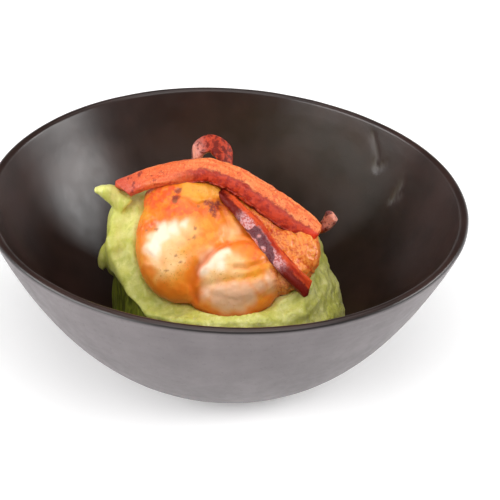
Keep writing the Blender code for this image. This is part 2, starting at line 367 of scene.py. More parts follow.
# %% Lay the table
TABLE_HALF = 3.0
table_mesh = bpy.data.meshes.new("table_top")
corners = [(x * TABLE_HALF, y * TABLE_HALF, 0) for x, y in ((-1, -1), (1, -1), (1, 1), (-1, 1))]
table_mesh.from_pydata(corners, [], [(0, 1, 2, 3)])
table_top = bpy.data.objects.new("table_top", table_mesh)
bpy.context.scene.collection.objects.link(table_top)
white_cloth, _ = finish(
    "white_table", Base_Color=(0.93, 0.93, 0.93, 1), Roughness=0.8, Specular_IOR_Level=0.1,
    Emission_Color=(1, 1, 1, 1), Emission_Strength=0.18,
)
table_mesh.materials.append(white_cloth)
print("table laid")

# %% [markdown]
# ## The bowl
#
# The bowl is pressed or thrown stoneware, pulled a little oval at the rim. It could be turned with a Screw
# modifier, but then the uneven lip and the marks in the glaze would need a second pass. Rings of points take the
# wall's curve, the oval and every small fault at once.

# %% The bowl's measures
RIM_RADIUS, WALL_HEIGHT, WALL, FLOOR = 65.6 * MM, 49.4 * MM, 3.0 * MM, 5.0 * MM
FOOT_RADIUS, FOOT_SHIFT, FOOT_WIDTH, FOOT_RECESS = 23 * MM, 2.0 * MM, 4.5 * MM, 1.2 * MM
WALL_PULL, WALL_LIFT = 0.63, 0.14
OVAL, OVAL_TURN = 0.055, math.radians(-23)
CORNER, CORNER_TURN = 0.005, math.radians(-20)


def wall_line(share):
    """(radius, height) on the outer wall, share 0 at the foot and 1 at the rim."""
    share = np.asarray(share, float)[:, None]
    foot, rim = np.array([FOOT_RADIUS, 0]), np.array([RIM_RADIUS, WALL_HEIGHT])
    control = np.array([FOOT_RADIUS + (RIM_RADIUS - FOOT_RADIUS) * WALL_PULL, WALL_HEIGHT * WALL_LIFT])
    return foot * (1 - share) ** 2 + control * 2 * share * (1 - share) + rim * share**2


def wall_inwards(share):
    """Unit vectors into the bowl, square to the outer wall."""
    share = np.asarray(share, float)
    along = wall_line(np.minimum(1, share + 1e-4)) - wall_line(np.maximum(0, share - 1e-4))
    along = unit(along)
    return np.stack([-along[:, 1], along[:, 0]], 1)


# %% Draw the bowl's section, from the inner floor over the lip to the foot
# How the dark inside and the thin dark line, a painted dark reflection, lie on the lip: shares of the turn
# from inside to outside.
DARK_END, LINE_MIDDLE, LINE_WIDTH = (0.70, 0.80), 0.74, 0.09
FLAT_FLOOR, FLOOR_CURVE = 0.3, 1.34
inner_shares = np.linspace(0.125, 1.0, 52)
inner_wall = wall_line(inner_shares) + wall_inwards(inner_shares) * WALL
reach = np.linspace(0.03, 0.97, 18)
climb = (np.clip(reach - FLAT_FLOOR, 0, 1) / (1 - FLAT_FLOOR)) ** FLOOR_CURVE
inner_floor = np.stack([inner_wall[0, 0] * reach, FLOOR + (inner_wall[0, 1] - FLOOR) * climb], 1)
across_lip = wall_inwards([1.0])[0] * WALL / 2
over_lip = np.array([across_lip[1], -across_lip[0]])
lip_turns = np.linspace(0, math.pi, 26)[1:-1, None]
lip = wall_line([1.0])[0] + across_lip + across_lip * np.cos(lip_turns) + over_lip * np.sin(lip_turns)
outer_wall = wall_line(1 - np.linspace(0, 1, 60) ** 1.5)
ring = FOOT_RADIUS - FOOT_WIDTH
foot_ring = np.array([(FOOT_RADIUS - 0.4 * MM, 0), (FOOT_RADIUS - 2.2 * MM, 0), (ring + 0.3 * MM, 0)])
foot_ring = np.vstack([foot_ring, [(ring, 0.3 * MM), (ring - FOOT_RECESS, FOOT_RECESS), (1 * MM, FOOT_RECESS)]])
section = np.vstack([inner_floor, inner_wall, lip, outer_wall, foot_ring])
inside = np.zeros(len(section))
lip_end = len(inner_floor) + len(inner_wall) + len(lip)
inside[: lip_end - len(lip)] = 1.0
inside[lip_end - len(lip) : lip_end] = 1 - eased(lip_turns[:, 0] / math.pi, *DARK_END)
lip_dark_reflection = np.zeros(len(section))
lip_dark_reflection[lip_end - len(lip) : lip_end] = near(lip_turns[:, 0] / math.pi - LINE_MIDDLE, LINE_WIDTH)
print("the section has", len(section), "points")

# %% [markdown]
# The wall isn't perfect. Fingers leave faint rings outside, the lip is a little thicker in one place than in
# another, and inside, on the right, the glaze has crawled and left two short scratches. Each is a small inward
# move of the points, so the bowl never grows beyond its measured size.

# %% Turn the section into the bowl
SPOKES = 400
RING_SPACING = 2.3 * MM
RING_DEPTH = 0.05 * MM
# Each scratch in the glaze: points (turn in degrees, height in mm) along the inner wall, which is unrolled at
# about its radius there.
UNROLLED_RADIUS = 56
SCRATCH_WIDTH, SCRATCH_DEPTH, LOWEST_SCRATCH = 0.55, 0.28 * MM, 30 * MM
SCRATCHES = [
    [(42.6, 48.0), (40.2, 45.0), (38.2, 42.0)],
    [(38.2, 42.0), (39.0, 40.3), (37.4, 39.4), (34.6, 41.9)],
    [(25.7, 40.4), (26.3, 37.6), (27.2, 33.6), (24.0, 36.9)],
]


def distance_to_path(places, path):
    """How far flat points are from a line through a few points."""
    best = np.full(len(places), np.inf)
    for start, end in zip(path, path[1:]):
        start, along = np.array(start, float), np.array(end, float) - start
        share = np.clip((places - start) @ along / (along @ along), 0, 1)
        best = np.minimum(best, np.linalg.norm(places - start - share[:, None] * along, axis=1))
    return best


turns = np.linspace(0, 2 * math.pi, SPOKES, endpoint=False)
radius, height = section[:, 0][:, None], section[:, 1][:, None]
rise = np.clip(height, 0, None) / WALL_HEIGHT
swell = OVAL * np.cos(2 * (turns - OVAL_TURN)) + CORNER * np.cos(3 * (turns - CORNER_TURN))
stretch = 1 + swell * rise
shift = FOOT_SHIFT * np.clip(1 - rise, 0, None) ** 2
rings = np.stack([radius * np.cos(turns) * stretch + shift, radius * np.sin(turns) * stretch], -1)
rings = np.concatenate([rings, np.broadcast_to(height[..., None], (*rings.shape[:2], 1))], -1)
floor_middle, foot_middle = np.array([FOOT_SHIFT, 0, FLOOR]), np.array([FOOT_SHIFT, 0, FOOT_RECESS])
bowl = piece_of_rings("bowl_stoneware", rings, floor_middle, foot_middle)
places, outwards = points_of(bowl), points_of(bowl, "normal")
glazed = np.append(np.repeat(inside, SPOKES), [1, 0])
around = np.degrees(np.arctan2(places[:, 1], places[:, 0]))
wobble = lumps(places, 9 * MM, 1)
throwing = 0.5 + 0.5 * np.sin(places[:, 2] / RING_SPACING * 2 * math.pi + 1.5 * wobble)
sunk = (1 - glazed) * throwing * RING_DEPTH * eased(places[:, 2], 3 * MM, 9 * MM)
lip_height = eased(places[:, 2], 46 * MM, 51 * MM)
sunk += lip_height * (0.12 + 0.12 * lumps(places, 14 * MM, 2)) * MM
sunk += 0.08 * MM * (1.0 + 0.4 * lumps(places, 7 * MM, 3)) * eased(places[:, 2], 0.3 * MM, 3 * MM)
wall_map = np.stack([around * math.pi / 180 * UNROLLED_RADIUS, places[:, 2] / MM], 1)
scratched = np.zeros(len(places))
for path in SCRATCHES:
    turned = [(turn * math.pi / 180 * UNROLLED_RADIUS, high) for turn, high in path]
    scratched = np.maximum(scratched, near(distance_to_path(wall_map, turned), SCRATCH_WIDTH))
scratched *= glazed * (places[:, 2] > LOWEST_SCRATCH)
sunk += SCRATCH_DEPTH * scratched
move_points(bowl, places - outwards * sunk[:, None])
mark(bowl, "glazed", glazed)
mark(bowl, "scratched", scratched)
mark(bowl, "lip_dark_reflection", np.append(np.repeat(lip_dark_reflection, SPOKES), [0, 0]))
print("bowl is", [round(value / MM, 1) for value in bowl.dimensions], "mm")

# %% [markdown]
# ## The glaze
#
# Inside is a dark brown-black glaze with a satin shine. Outside the same clay is duller and greyer, and a little
# rough. One material does both and mixes them across the lip. The colour varies slowly and the roughness varies
# in small patches, which breaks up the reflections as on a real pot.

# %% Mix the glaze
glaze, shader = finish("stoneware_glaze", Specular_IOR_Level=0.5)
is_inside = between(amount("glazed"), 0.35, 0.75)
cloud = grain(16 * MM, 3.0)
speckle = grain(0.9 * MM, 2.0)
inner = blended(between(cloud, 0.35, 0.65), (0.017, 0.0075, 0.0058), (0.030, 0.0135, 0.0105))
inner = blended(amount("scratched"), inner, (0.075, 0.06, 0.055))
outer = blended(between(cloud, 0.3, 0.7), (0.116, 0.100, 0.104), (0.146, 0.127, 0.131))
outer = blended(between(speckle, 0.60, 0.72, 0, 0.35), outer, (0.055, 0.048, 0.048))
both = blended(is_inside, outer, inner)
# A thin, nearly black painted reflection runs along the lip, where the rounded lip mirrors the dark room in front.
wire(blended(amount("lip_dark_reflection"), both, (0.006, 0.004, 0.004)), shader.inputs["Base Color"])
inner_shine = between(grain(5 * MM, 4.0), 0.3, 0.7, 0.28, 0.33)
outer_shine = between(grain(3 * MM, 4.0), 0.3, 0.7, 0.42, 0.50)
shine_gap = sum_up("SUBTRACT", inner_shine, outer_shine)
wire(sum_up("ADD", outer_shine, times(shine_gap, is_inside)), shader.inputs["Roughness"])
bumps(shader, grain(1.6 * MM, 4.0), 0.02 * MM)
dress(bowl, glaze, "bowl_glaze", "bowl")

# %% [markdown]
# ## The prawn's own ground
#
# The prawn lies on the slope of the puree. It is easier to describe in its own directions: u runs to the right,
# v up the slope and w out of it. Both the prawn and the hollow it presses into the puree use them.

# %% The slope that the prawn lies on
PRAWN_MIDDLE = np.array([1.2, -8.0, 41.6]) * MM
SLOPE = math.radians(42)
SLOPE_AXES = np.array([(1, 0, 0), (0, math.cos(SLOPE), math.sin(SLOPE)), (0, -math.sin(SLOPE), math.cos(SLOPE))])


def on_slope(places):
    """World places as (u, v, w) in mm."""
    return (np.asarray(places) - PRAWN_MIDDLE) @ SLOPE_AXES.T / MM


def off_slope(flat):
    """(u, v, w) in mm as world places."""
    return np.asarray(flat) * MM @ SLOPE_AXES + PRAWN_MIDDLE


# %% [markdown]
# ## The prawn
#
# A peeled prawn tail curls as it cooks, and its segments swell and press against each other. Nine swellings
# along the curl are melted into one skin with a voxel remesh, as if modelling with soft clay. Then the creases,
# folds and fine wrinkles are pressed in by formula.

# %% Melt the swellings into one skin
# Each swelling: its middle (u, v, w) and half sizes in mm, and its turn in degrees.
SWELLINGS = {
    "thick end": ((-9.8, 12.8, -1.2), (14.6, 8.8, 8.8), 8),
    "first": ((-12.0, 0.7, 0.4), (14.2, 18.4, 9.3), -8),
    "second": ((2.9, -8.0, 0.6), (13.8, 10.8, 8.6), 12),
    "second's flank": ((1.0, -13.4, -1.4), (13.0, 8.4, 7.0), 2),
    "third": ((14.0, -8.4, -1.6), (8.4, 6.4, 6.4), 20),
    "fourth": ((19.6, -1.8, -3.4), (6.4, 9.0, 6.4), 0),
    "fifth": ((15.0, 4.6, -5.4), (10.0, 7.4, 6.6), -40),
    "belly": ((1.0, 5.9, -2.4), (17.0, 11.6, 8.4), 0),
    # A low one that evens out the hollow between the last few.
    "filling": ((13.6, -1.0, -2.6), (9.0, 7.4, 6.8), 0),
}
mesh = bmesh.new()
for middle, half, turn in SWELLINGS.values():
    place = Matrix.Translation(Vector(middle) * MM) @ Matrix.Rotation(math.radians(turn), 4, "Z")
    size = Matrix.Diagonal((*(Vector(half) * MM), 1))
    bmesh.ops.create_uvsphere(mesh, u_segments=64, v_segments=40, radius=1, matrix=place @ size)
data = bpy.data.meshes.new("prawn_tail")
mesh.to_mesh(data)
mesh.free()
prawn = bpy.data.objects.new("prawn_tail", data)
bpy.context.scene.collection.objects.link(prawn)
PRAWN_GRAIN = 0.42 * MM
applied(prawn, "REMESH", mode="VOXEL", voxel_size=PRAWN_GRAIN)
applied(prawn, "SMOOTH", factor=0.5, iterations=16)
print("prawn skin has", len(prawn.data.vertices), "points")

# %% [markdown]
# The deep crease between the two visible segments runs up from the bottom and turns right. Above it the first
# segment is one big smooth swelling. Below it the second has a long soft fold, and under that a rounded flank.

# %% Press in creases and folds
CREASE = [(-9.1, -17.0), (-10.2, -13.8), (-9.0, -11.5), (-8.2, -8.5), (-5.7, -6.0), (-3.2, -3.8), (0.1, -2.1)]
CREASE_END = [(0.1, -2.1), (4.9, -1.3), (8.8, -3.1), (10.7, -6.8)]
FOLD = [(-8.0, -14.4), (-4.0, -13.2), (2.0, -12.8), (7.6, -11.2), (13.6, -9.6), (17.0, -9.0)]
SECOND_FOLD = [(1.6, -9.6), (5.6, -9.4), (9.4, -8.2), (13.6, -6.4)]
FLANK = [(-5.2, -16.8), (0.6, -17.8), (5.4, -16.4)]
FLAP_EDGE = [(-14.6, 13.6), (-13.4, 11.2), (-11.0, 10.0), (-8.6, 9.0), (-6.6, 10.0), (-4.0, 10.6), (-1.4, 10.6)]
BACK_RIDGE = [(-1.0, 13.0), (1.6, 8.0), (4.2, 3.4), (7.4, -1.0)]
# Two swellings along the second segment, between its crease and its folds.
HIGH_BULGE, LOW_BULGE = [(-6.0, -8.0), (-2.0, -5.6), (2.0, -4.6)], [(2.0, -7.8), (7.0, -7.2), (12.4, -4.6)]


def wandering(flat, size, reach, seed):
    """Flat places shifted by noise, so that the edge of a mark wanders."""
    spread = np.concatenate([flat[:, :2], np.zeros((len(flat), 1))], 1)
    return flat[:, :2] + reach * np.stack([lumps(spread, size, seed), lumps(spread, size, seed + 1)], 1)


def beside(path, width):
    """1 on a path over the prawn, fading to nothing beside it."""
    return near(distance_to_path(loose, path), width)


flat = points_of(prawn) / MM
loose = wandering(flat, 3.4, 0.7, 4)
upper = np.clip(flat[:, 2] / 3.0, 0, 1)
crease = beside(CREASE, 1.1)
crease_end = beside(CREASE_END, 0.9)
fold = beside(FOLD, 1.3)
second_fold = beside(SECOND_FOLD, 0.7)
flap_edge = beside(FLAP_EDGE, 0.4)
back_ridge = beside(BACK_RIDGE, 1.0)
over_flap = eased(loose[:, 1], 9.4, 10.6) * eased(loose[:, 0], -14.5, -13.0) * (1 - eased(loose[:, 0], -2.4, -1.2))
sunk = 1.3 * crease + 0.6 * crease_end + 0.5 * fold + 0.45 * second_fold + 0.5 * flap_edge + 0.6 * back_ridge
swollen = 0.9 * beside(HIGH_BULGE, 2.6)
swollen += 0.8 * beside(FLANK, 2.4) + 0.5 * over_flap
swollen += 0.35 * beside(LOW_BULGE, 1.0)
wrinkles = 0.10 * lumps(flat, 1.3, 6) + 0.20 * lumps(flat, 3.2, 7)
browned = eased(flat[:, 1] - 0.25 * flat[:, 0], 5.0, 9.0)
pitted = browned * (0.16 * lumps(flat, 0.9, 9) + 0.22 * lumps(flat, 1.8, 14))
stringy = lumps(flat * (0.30, 0.30, 0.6) + (flat[:, [1, 0, 2]] + flat[:, [0, 1, 2]]) * (0.55, 0, 0), 1.0, 8)
frayed = eased(flat[:, 0] + 0.35 * flat[:, 1], 7.0, 10.0)
strings = frayed * (0.42 * stringy + 0.30 * lumps(flat, 1.1, 13))
outwards = points_of(prawn, "normal")
flat = flat + outwards * (wrinkles + pitted + strings)[:, None]
flat[:, 2] += upper * (swollen - sunk)
move_points(prawn, off_slope(flat))
print("prawn is", [round(value / MM, 1) for value in prawn.dimensions], "mm")

# %% [markdown]
# ## Where the prawn is seared, pale or burnt
#
# The pan browns the high parts and leaves the rest milky. These marks are soft-edged shapes on the slope, with
# ragged edges. The material reads them by name: white flesh, golden and deep orange sear, red patches, pink
# half-clear flesh on the flank, char, and small specks of pepper. Painted shade is marked too: darker orange
# along the low edges, in the creases and folds, and a deep orange line along the big crease.

# %% Mark the sear
def patch(spots, flat, soft=1.0):
    """1 in a few round spots (u, v, radius), fading over their edges."""
    most = np.zeros(len(flat))
    for u, v, radius in spots:
        far = np.hypot(flat[:, 0] - u, flat[:, 1] - v)
        most = np.maximum(most, 1 - eased(far, radius - soft, radius + soft))
    return most


WHITE = [(-20.2, -0.4, 2.6), (-18.2, 0.8, 2.8), (-20.8, -3.4, 2.4), (-15.4, 2.2, 1.6), (-12.6, 2.8, 0.9)]
WHITE += [(-5.4, -8.0, 2.0), (-3.2, -6.4, 2.2), (-1.0, -4.8, 1.5), (-6.8, -9.8, 1.4), (-2.2, -8.6, 1.6)]
CREAM = [(-18.4, -2.6, 4.8), (-15.4, -0.4, 3.4), (-11.4, 1.6, 2.0), (-20.2, -7.0, 2.4), (-16.4, -5.4, 2.6)]
CREAM += [(-16.0, -8.6, 2.4), (-19.0, -9.8, 1.6), (-13.4, -7.0, 1.6)]
CREAM += [(-3.0, -8.2, 4.4), (1.2, -7.0, 2.6), (0.6, 0.6, 1.8), (2.4, 1.6, 1.6), (-5.4, -11.6, 2.6), (1.6, -9.8, 2.0)]
GOLD = [(-15.0, -9.0, 3.8), (-18.8, -10.4, 2.8), (-12.6, -6.0, 3.0), (-23.6, 6.4, 1.5), (-23.2, 9.0, 1.3)]
GOLD += [(-11.6, 13.4, 2.6), (-8.2, 12.8, 3.2), (-4.6, 13.0, 2.6), (-9.4, 16.0, 3.4), (-7.6, 10.6, 1.6)]
GOLD += [(-4.0, -12.0, 1.6), (-1.0, -11.8, 2.0), (3.0, -11.4, 2.0), (7.4, -10.2, 2.0), (11.6, -9.0, 1.9)]
GOLD += [(14.6, -8.6, 2.0), (24.0, -3.6, 2.0), (22.6, 1.0, 1.8), (18.0, 0.6, 1.4), (2.8, 9.8, 0.9)]
DEEP = [(-10.8, -7.4, 1.8), (-11.2, -11.4, 2.2), (-13.4, -15.8, 2.8), (-18.4, -14.0, 2.2), (-9.9, -15.0, 2.0)]
DEEP += [(-25.0, -3.0, 1.1), (-24.8, 1.6, 1.2), (-24.0, 5.0, 0.9), (-22.6, -9.6, 1.2), (3.8, -3.4, 2.6)]
DEEP += [(7.6, -4.0, 2.8), (-16.6, 6.0, 3.2), (-19.6, 8.0, 3.4), (-12.8, 8.6, 2.4), (6.6, 3.0, 4.4)]
DEEP += [(9.6, 6.4, 4.0), (13.4, 0.2, 3.6)]
RED = [(-15.8, 8.6, 2.6), (-19.8, 11.4, 3.2), (-13.2, 7.0, 1.8), (-16.6, 12.6, 2.8), (-16.2, 5.6, 1.2)]
RED += [(7.6, -6.4, 1.6), (5.0, -2.4, 1.3), (8.2, -3.4, 1.4), (8.8, 5.4, 2.4), (12.4, 4.0, 2.6)]
RED += [(14.0, 0.4, 1.8), (5.6, 7.6, 1.8), (-3.2, 6.4, 1.4)]
PINK = [(-6.4, -15.8, 2.2), (-2.6, -16.8, 3.2), (1.4, -17.4, 3.6), (5.2, -16.2, 2.8), (8.6, -13.8, 1.8)]
PINK += [(12.0, -12.6, 1.8), (15.6, -11.8, 1.7), (-1.0, -19.6, 2.6), (3.0, -19.6, 2.2)]
CHAR = [(-4.8, 9.3, 1.0), (-3.2, 9.5, 0.9), (-6.2, 9.6, 0.7), (-4.4, 7.8, 1.1), (-4.3, 6.4, 0.7), (-3.0, 8.4, 0.6)]
CHAR += [(-14.9, 10.6, 1.1), (-14.2, 13.4, 0.9)]
SPECKS = [(-8.5, 8.4, 0.5), (-9.6, 1.8, 0.55), (-9.3, -0.8, 0.6), (-19.9, 1.9, 0.5), (-22.8, 2.1, 0.35)]
SPECKS += [(-17.1, -9.4, 0.45), (-13.4, -7.9, 0.4), (-15.0, -6.0, 0.35), (-14.8, 9.8, 0.7), (-10.9, -1.6, 0.3)]

flat = on_slope(points_of(prawn))
ragged = wandering(wandering(flat, 5.0, 1.2, 16), 1.9, 0.8, 10)
finely_ragged = wandering(wandering(flat, 2.4, 0.7, 18), 0.8, 0.45, 12)
facing = eased(flat[:, 2], -3.0, 1.5)
mark(prawn, "white", patch(WHITE, ragged, 1.3) * facing)
mark(prawn, "cream", patch(CREAM, ragged, 2.6) * facing)
mark(prawn, "gold", patch(GOLD, ragged, 1.3))
# The deep mark is sear in its patches, and along the big crease it is painted shade.
mark(prawn, "deep_sear_and_shade", np.maximum(patch(DEEP, ragged, 1.8), 0.9 * beside(CREASE[1:5], 1.5)))
mark(prawn, "red", patch(RED, finely_ragged, 1.6) * facing)
mark(prawn, "pink", patch(PINK, ragged, 1.8))
mark(prawn, "char", patch(CHAR, finely_ragged, 0.4) * facing)
mark(prawn, "specks", patch(SPECKS, finely_ragged, 0.25) * facing)
# The rim mark is painted shade: a darker orange along the prawn's low edges, where it sinks into the puree.
mark(prawn, "rim", 1 - eased(flat[:, 2] + 0.15 * flat[:, 1], -2.6, 0.6))
mark(prawn, "frayed", frayed)
mark(prawn, "browned", browned * (1 - 0.6 * over_flap) * (1 - eased(flat[:, 0], 4.0, 7.0)))
# Painted shade: this darker orange sits in the creases, the folds and under the flap's edge, where shade falls.
shaded = crease + 0.6 * crease_end + 0.9 * flap_edge + 0.5 * second_fold + 0.4 * back_ridge
mark(prawn, "crease", np.clip(shaded, 0, 1))
print("seared patches marked on", prawn.name)

# %% [markdown]
# ## The prawn's flesh
#
# Cooked prawn lets light a little way in, so the material scatters light under the skin, most of all red. The
# colours are laid one over another by the marks above, from the even orange up to the burnt specks. A thin wet
# coat gives the small bright glints.

# %% Mix the flesh
flesh, shader = finish(
    "seared_prawn_flesh", Subsurface_Weight=0.22, Subsurface_Scale=1.2 * MM, Specular_IOR_Level=0.4,
    Coat_Weight=0.15, Coat_Roughness=0.2,
)
shader.inputs["Subsurface Radius"].default_value = (1.0, 0.55, 0.3)
mottle = grain(2.4 * MM, 5.0, 0.62)
fine = grain(0.65 * MM, 3.0, 0.6)


def laid(name, colour, layer, most=1.0, patchy=None):
    """Lays a colour over the ones so far, where a mark is, at most by a share, and patchily if asked."""
    share = times(amount(name), most)
    if patchy is not None:
        share = times(share, patchy)
    return blended(share, colour, layer)


colour = blended(between(mottle, 0.36, 0.62), (0.84, 0.21, 0.014), (0.88, 0.31, 0.032))
browner = blended(between(mottle, 0.42, 0.56), (0.82, 0.22, 0.016), (0.70, 0.090, 0.014))
colour = tinted(0.85, amount("browned"), colour, browner)
burnt = times(amount("browned"), between(fine, 0.52, 0.64))
colour = tinted(0.6, burnt, colour, (0.56, 0.060, 0.012))
colour = laid("gold", colour, (0.82, 0.34, 0.026), 0.9, between(mottle, 0.25, 0.6, 0.5, 1.0))
colour = laid("cream", colour, (0.90, 0.58, 0.27), 0.85)
colour = laid("pink", colour, (0.82, 0.50, 0.31), 0.9)
colour = laid("deep_sear_and_shade", colour, (0.80, 0.19, 0.012), 0.85, between(mottle, 0.30, 0.55, 0.5, 1.0))
colour = laid("white", colour, (0.88, 0.75, 0.57), 0.95)
colour = laid("red", colour, (0.74, 0.095, 0.025), 0.95, between(mottle, 0.40, 0.60, 0.10, 1.0))
# Painted shade along the prawn's low edges.
colour = laid("rim", colour, (0.66, 0.13, 0.012), 0.75)
# Painted shade in the creases, the folds and under the flap's edge.
colour = laid("crease", colour, (0.74, 0.15, 0.008), 0.8)
frays = blended(between(fine, 0.36, 0.60), (0.62, 0.085, 0.012), (0.86, 0.30, 0.060))
colour = tinted(0.75, amount("frayed"), colour, frays)
torn = times(amount("frayed"), between(mottle, 0.54, 0.66))
colour = tinted(0.8, torn, colour, (0.56, 0.050, 0.012))
freckles = times(between(fine, 0.58, 0.68), between(mottle, 0.42, 0.58))
freckles = times(freckles, sum_up("SUBTRACT", 1.0, amount("white")))
colour = tinted(0.35, freckles, colour, (0.60, 0.18, 0.02))
olive = times(between(fine, 0.56, 0.66), amount("gold"))
colour = tinted(0.5, olive, colour, (0.50, 0.24, 0.02))
colour = laid("char", colour, (0.20, 0.030, 0.026), 0.95, between(fine, 0.32, 0.52, 0.45, 1.0))
colour = laid("specks", colour, (0.30, 0.10, 0.03), 0.8)
surface(shader, colour, between(fine, 0.3, 0.7, 0.30, 0.46))
bumps(shader, sum_up("ADD", mottle, times(fine, 0.5)), 0.12 * MM, 0.8)
dress(prawn, flesh, "prawn", "prawn")

# %% [markdown]
# ## The puree
#
# The puree is a scoop dropped from a spoon: steep and smeared at the left, low and lumpy at the right, with a
# pulled peak and a small flap where the spoon let go. The body is a ball pushed into shape by formula. The peak
# and flap are tapered tubes, and a voxel remesh melts the three together.

# %% The scoop's measures
SCOOP_MIDDLE = np.array([0.0, -2.0, 12.0]) * MM
SCOOP_HALF = np.array([34.4, 30.0, 39.0]) * MM
STEEP_LEFT, STEEP_RIGHT, STEEP_BLEND = 10.0, 2.0, 0.42
SCOOP_LEAN, SCOOP_FALL, FALL_START = 0.16, 0.34, -0.3
SEAT_DEPTH, SEAT_END, SEAT_LIP = -3.0, (17, 27), 10.0
# Where the peak and the flap start, curve to and end, and their half widths, in mm.
PEAK = [(-28.6, 3.6, 47.6), (-31.6, 3.2, 50.2), (-34.2, 2.8, 51.8), (-36.6, 2.4, 52.6)], (4.0, 2.4, 1.5, 0.8)
FLAP = [(-31.4, -1.4, 36.0), (-33.6, -2.0, 34.2), (-35.0, -2.4, 31.4), (-35.9, -2.8, 28.0)], (3.0, 2.6, 1.8, 0.7)


def scoop_points(ball):
    """Where points of the unit ball go on the plain scoop."""
    power = STEEP_LEFT + (STEEP_RIGHT - STEEP_LEFT) * (0.5 + 0.5 * ball[:, 0]) ** STEEP_BLEND
    spread = (1 - np.minimum(1, np.abs(ball[:, 2])) ** power) ** (1 / power)
    side = ball[:, :2] / np.maximum(1e-9, np.linalg.norm(ball[:, :2], axis=1, keepdims=True))
    places = np.column_stack([side * spread[:, None], ball[:, 2]]) * SCOOP_HALF
    above = places[:, 2] > 0
    fall = 1 - SCOOP_FALL * eased(places[:, 0] / SCOOP_HALF[0], FALL_START, 1.0)
    places[:, 2] = np.where(above, places[:, 2] * fall, places[:, 2])
    places[:, 1] += np.where(above, SCOOP_LEAN * places[:, 2], 0)
    return places + SCOOP_MIDDLE


def seated(places):
    """Presses the front of the scoop flat where the prawn lies."""
    flat = on_slope(places)
    flat[:, 2] = np.minimum(flat[:, 2], SEAT_DEPTH + SEAT_LIP * eased(-flat[:, 1], *SEAT_END))
    return off_slope(flat)


# %% Drop the scoop and pull its peak
def tapered(name, way, halves):
    """A round tube along a curve, thinner towards its end."""
    shares = np.linspace(0, 1, 24)
    middle, half = through(way, shares) * MM, through(halves, shares) * MM
    along = unit(np.gradient(middle, axis=0))
    across = unit(np.cross(along, (0, 1, 0)))
    out = np.cross(along, across)
    turns = np.linspace(0, 2 * math.pi, 24, endpoint=False)[None, :, None]
    rings = middle[:, None] + half[:, None] * (across[:, None] * np.cos(turns) + out[:, None] * np.sin(turns))
    return piece_of_rings(name, rings)


heights = np.cos(np.linspace(0, math.pi, 92)[1:-1])
spins = np.linspace(0, 2 * math.pi, 160, endpoint=False)
flat_radius = np.sqrt(1 - heights**2)[:, None]
ball = np.stack([flat_radius * np.cos(spins), flat_radius * np.sin(spins),
                 np.broadcast_to(heights[:, None], (len(heights), len(spins)))], -1)
ball = np.concatenate([ball.reshape(-1, 3), [(0, 0, 1), (0, 0, -1)]])
body = seated(scoop_points(ball))
away = unit(body - SCOOP_MIDDLE)
body = body + away * (lumps(body, 17 * MM) * 1.6 * MM)[:, None]
puree = piece_of_rings("puree_scoop", body[:-2].reshape(len(heights), len(spins), 3), body[-2], body[-1])
parts = [puree, tapered("peak", *PEAK), tapered("flap", *FLAP)]
mesh = bmesh.new()
for part in parts:
    mesh.from_mesh(part.data)
mesh.to_mesh(puree.data)
mesh.free()
for part in parts[1:]:
    bpy.data.objects.remove(part)
applied(puree, "REMESH", mode="VOXEL", voxel_size=0.6 * MM)
applied(puree, "SMOOTH", factor=0.5, iterations=8)
print("puree has", len(puree.data.vertices), "points")

# %% [markdown]
# The puree is soft, so the prawn sinks into it and pushes up a low lip all round. The left side keeps long
# smears from the spoon and a ledge that is cut back underneath. The front and the right side keep lumps. Last, it
# rests on the bowl: no point goes below the glaze.

# %% Press the prawn in, smear the side and rest it in the bowl
LEDGE_DEPTH, LIP_SWELL = 1.8 * MM, 0.9 * MM
# How far the puree's skin may stand over the prawn's underside (mm), and how close it lies on the glaze.
OVER_PRAWN, OVER_GLAZE = 0.35, 0.05 * MM

places, outwards = points_of(puree), points_of(puree, "normal")
flat = on_slope(places)
left = 1 - eased(places[:, 0], -24 * MM, -6 * MM)
front = eased(-places[:, 1], -4 * MM, 6 * MM)
smear = lumps(places * (1, 1, 0.28), 4.2 * MM, 20) * 0.9 + lumps(places * (1, 1, 0.3), 1.9 * MM, 21) * 0.25
clumps = lumps(places, 4.6 * MM, 22) * 0.85 + lumps(places, 2.1 * MM, 23) * 0.45 + lumps(places, 1.1 * MM, 24) * 0.22
relief = 1.25 * smear * left + 1.1 * clumps * (1 - left)
ledge_height = 33.0 - 0.55 * (places[:, 0] / MM + 33) + 1.0 * lumps(places, 9 * MM, 25)
ledge_height = ledge_height - 5.5 * near(places[:, 1] / MM + 2.4, 3.0)
under_ledge = 1 - eased(places[:, 2] / MM - ledge_height, -2.2, 0.0)
under_ledge *= (1 - eased(places[:, 0], -22 * MM, -11 * MM)) * eased(-places[:, 1], -16 * MM, -4 * MM)
to_axis = unit((SCOOP_MIDDLE - places) * (1, 1, 0))
places = places + to_axis * (LEDGE_DEPTH * under_ledge)[:, None]
skin = tree_of(prawn)
gaps = np.array([skin.find_nearest(place)[3] for place in places.tolist()]) / MM
pushed = near(gaps - 1.8, 1.5) * (flat[:, 2] > -6) * front
places = places + outwards * (relief * MM * eased(gaps, 0.0, 3.0))[:, None]
places = places + outwards * (LIP_SWELL * pushed)[:, None]
flat = on_slope(places)
slope_up = Vector(SLOPE_AXES[2])
for k in np.nonzero((gaps < 14) & (flat[:, 2] > -14))[0]:
    below = off_slope([(flat[k, 0], flat[k, 1], -40.0)])[0]
    hit = skin.ray_cast(Vector(below), slope_up)[0]
    if hit is not None:
        flat[k, 2] = min(flat[k, 2], on_slope([hit])[0, 2] + OVER_PRAWN)
places = off_slope(flat)
glaze_skin = tree_of(bowl)
down = Vector((0, 0, -1))
for k in np.nonzero(places[:, 2] < 40 * MM)[0]:
    hit = glaze_skin.ray_cast(Vector((places[k, 0], places[k, 1], 0.1)), down)[0]
    if hit is not None:
        places[k, 2] = max(places[k, 2], hit.z + OVER_GLAZE)
move_points(puree, places)
print("puree is", [round(value / MM, 1) for value in puree.dimensions], "mm")
